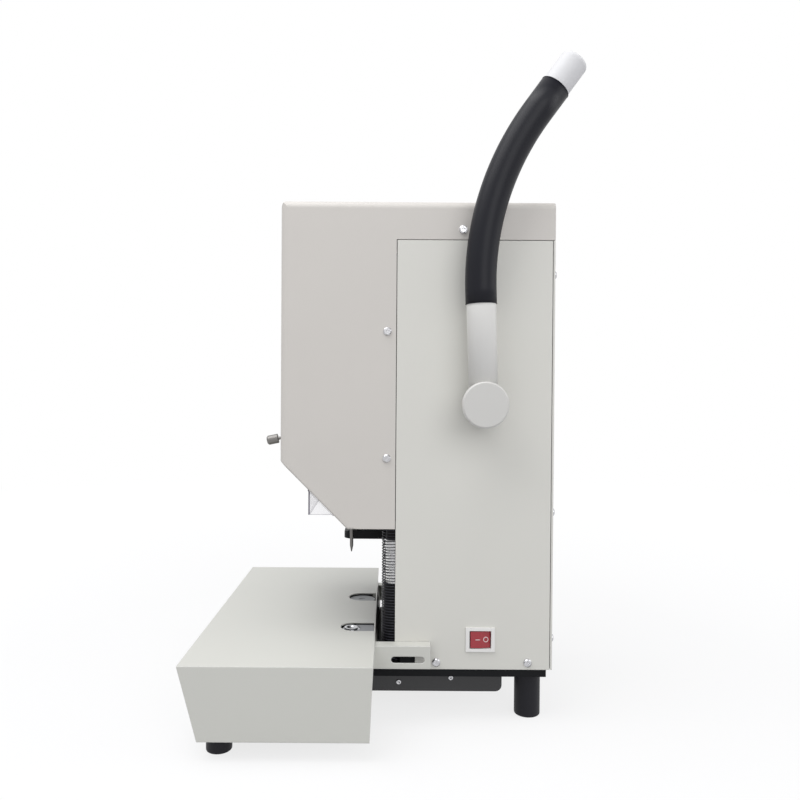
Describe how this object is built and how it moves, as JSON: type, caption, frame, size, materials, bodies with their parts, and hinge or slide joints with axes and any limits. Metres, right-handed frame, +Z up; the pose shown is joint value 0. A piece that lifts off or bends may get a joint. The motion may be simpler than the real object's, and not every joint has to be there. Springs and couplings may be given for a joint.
{
  "type": "document riveting machine",
  "caption": "Desk machine that drills a stack of paper and sets a hot plastic rivet in it: a side lever drives a carriage down over a sheet-metal table through a gear and a rack.",
  "frame": {"origin": "centre of the machine's outline on the desk under the feet", "axes": "+X to the lever's side, +Y to the machine's back, +Z up"},
  "size_m": [0.4, 0.3979, 0.6982],
  "materials": {
    "cream_paint": "satin cream paint",
    "grey_paint": "satin warm grey paint",
    "black_paint": "matte black paint",
    "foot_rubber": "matte",
    "grip_rubber": "smooth",
    "steel": "ground",
    "dark_steel": "machined",
    "spring_steel": "drawn wire",
    "bright_screw": "bright",
    "bronze": "machined",
    "brass_block": "machined",
    "insulator": "matte",
    "pad_plastic": "matte",
    "black_plastic": "matte",
    "white_plastic": "glossy",
    "cap_plastic": "satin",
    "red_plastic": "glossy",
    "board": "matte",
    "core": "matte",
    "motor_case": "satin",
    "clear_sheet": "clear"
  },
  "bodies": {
    "stand": {"base_plate": "black_paint", "bottom_pan": "black_paint", "front_feet": "foot_rubber", "rear_feet": "foot_rubber", "foot_screws": "steel", "side_frame_right": "black_paint", "side_frame_left": "black_paint", "frame_screws": "steel", "top_plate": "black_paint", "throat_wall": "black_paint", "guide_posts": "steel", "post_sleeves": "black_plastic", "return_spring_right": "spring_steel", "return_spring_left": "spring_steel", "shaft_bushes": "bronze", "table_cover": "cream_paint", "table_screws": "bright_screw", "die_insulator": "insulator", "die_block": "brass_block", "rivet_die": "steel", "die_clamp": "dark_steel", "pad_holder": "black_plastic", "head_cover": "grey_paint", "head_cover_screws": "bright_screw", "right_side_cover": "cream_paint", "left_side_cover": "cream_paint", "side_cover_screws": "bright_screw", "rear_cover": "cream_paint", "rear_cover_screws": "bright_screw", "clear_guard": "clear_sheet", "switch_housing": "white_plastic", "power_inlet": "black_plastic", "circuit_board": "board", "board_standoffs": "steel", "transformer": "core", "toggle_bush": "bright_screw"},
    "pad": {"cutting_pad": "pad_plastic"},
    "carriage": {"carriage_plate": "dark_steel", "slide_bushes": "bronze", "rack": "steel", "rack_screws": "steel", "motor_mount": "dark_steel", "drill_motor": "motor_case", "heater_insulator": "insulator", "heater_block": "brass_block", "rivet_punch": "steel", "press_springs": "spring_steel"},
    "spindle": {"drill_chuck": "steel", "drill_bit": "steel"},
    "press": {"press_plate": "black_paint", "press_pins": "steel"},
    "lever": {"lever_hub": "cream_paint", "lever_tube": "cream_paint", "lever_grip": "grip_rubber", "lever_end_cap": "cap_plastic", "lever_shaft": "steel", "lever_gear": "steel"},
    "rocker": {"power_rocker": "red_plastic"},
    "toggle": {"toggle_lever": "bright_screw"}
  },
  "joints": [
    {"name": "lever_pull", "type": "hinge", "parent": "stand", "child": "lever", "pos_m": [0, 0.09812, 0.34], "axis": [1, 0, 0], "range_deg": [0, 106]},
    {"name": "carriage_slide", "type": "slide", "parent": "stand", "child": "carriage", "axis": [0, 0, -1], "range_m": [0, 0.0889], "stiffness_N_per_m": 600, "springref_m": -0.15, "deforming": ["return_spring_right", "return_spring_left"]},
    {"name": "press_slide", "type": "slide", "parent": "carriage", "child": "press", "axis": [0, 0, 1], "range_m": [0, 0.05], "stiffness_N_per_m": 200, "springref_m": -0.03, "deforming": ["press_springs"]},
    {"name": "spindle_spin", "type": "hinge", "parent": "carriage", "child": "spindle", "pos_m": [-0.044, -0.03918, 0.26], "axis": [0, 0, 1], "continuous": true},
    {"name": "pad_turn", "type": "hinge", "parent": "stand", "child": "pad", "pos_m": [-0.044, -0.03098, 0.08], "axis": [0, 0, 1], "continuous": true},
    {"name": "rocker_press", "type": "hinge", "parent": "stand", "child": "rocker", "pos_m": [0.112, 0.09992, 0.09], "axis": [0, 0, 1], "range_deg": [-14, 0]},
    {"name": "toggle_flip", "type": "hinge", "parent": "stand", "child": "toggle", "pos_m": [0.07, -0.11618, 0.301], "axis": [-1, 0, 0], "range_deg": [0, 24]}
  ],
  "couplings": [
    {"joint": "carriage_slide", "follows": "lever_pull", "m_per_rad": 0.048}
  ]
}
